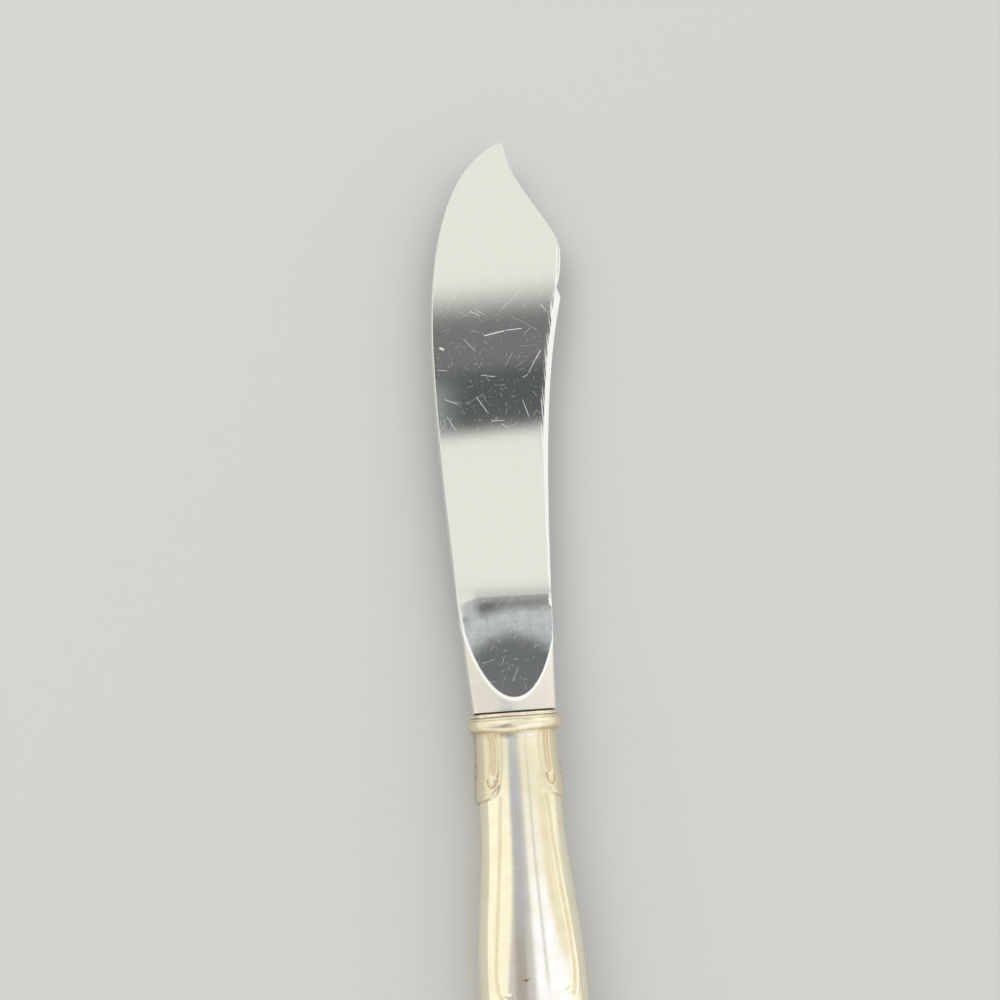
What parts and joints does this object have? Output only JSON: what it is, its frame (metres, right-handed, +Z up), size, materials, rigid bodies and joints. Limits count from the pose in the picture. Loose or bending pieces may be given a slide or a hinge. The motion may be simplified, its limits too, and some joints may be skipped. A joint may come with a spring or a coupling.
{
  "type": "butter knife",
  "caption": "Butter knife lying on its side: a polished blade with a notched, humped spine, in a hollow silver handle with a beaded collar and threads, for cutting and spreading butter.",
  "frame": {"origin": "centre of the footprint of the knife lying on its side, on the surface that the handle rests on", "axes": "+Y from the handle to the tip of the blade, +X to the spine side, +Z up, through the flat of the blade"},
  "size_m": [0.0216, 0.182, 0.0094],
  "materials": {
    "blade_steel": "polished stainless steel with fine lengthwise grain and light scratches",
    "handle_silver": "polished silver, warm tarnish in the grooves",
    "plate_silver": "tarnished silver",
    "solder": "dull solder",
    "cement": "dark rosin cement"
  },
  "bodies": {
    "root": {"blade": "blade_steel", "handle_front_shell": "handle_silver", "handle_back_shell": "handle_silver", "mouth_plate": "plate_silver", "mouth_solder": "solder", "seam_solder": "solder", "filler_cement": "cement"}
  },
  "joints": []
}
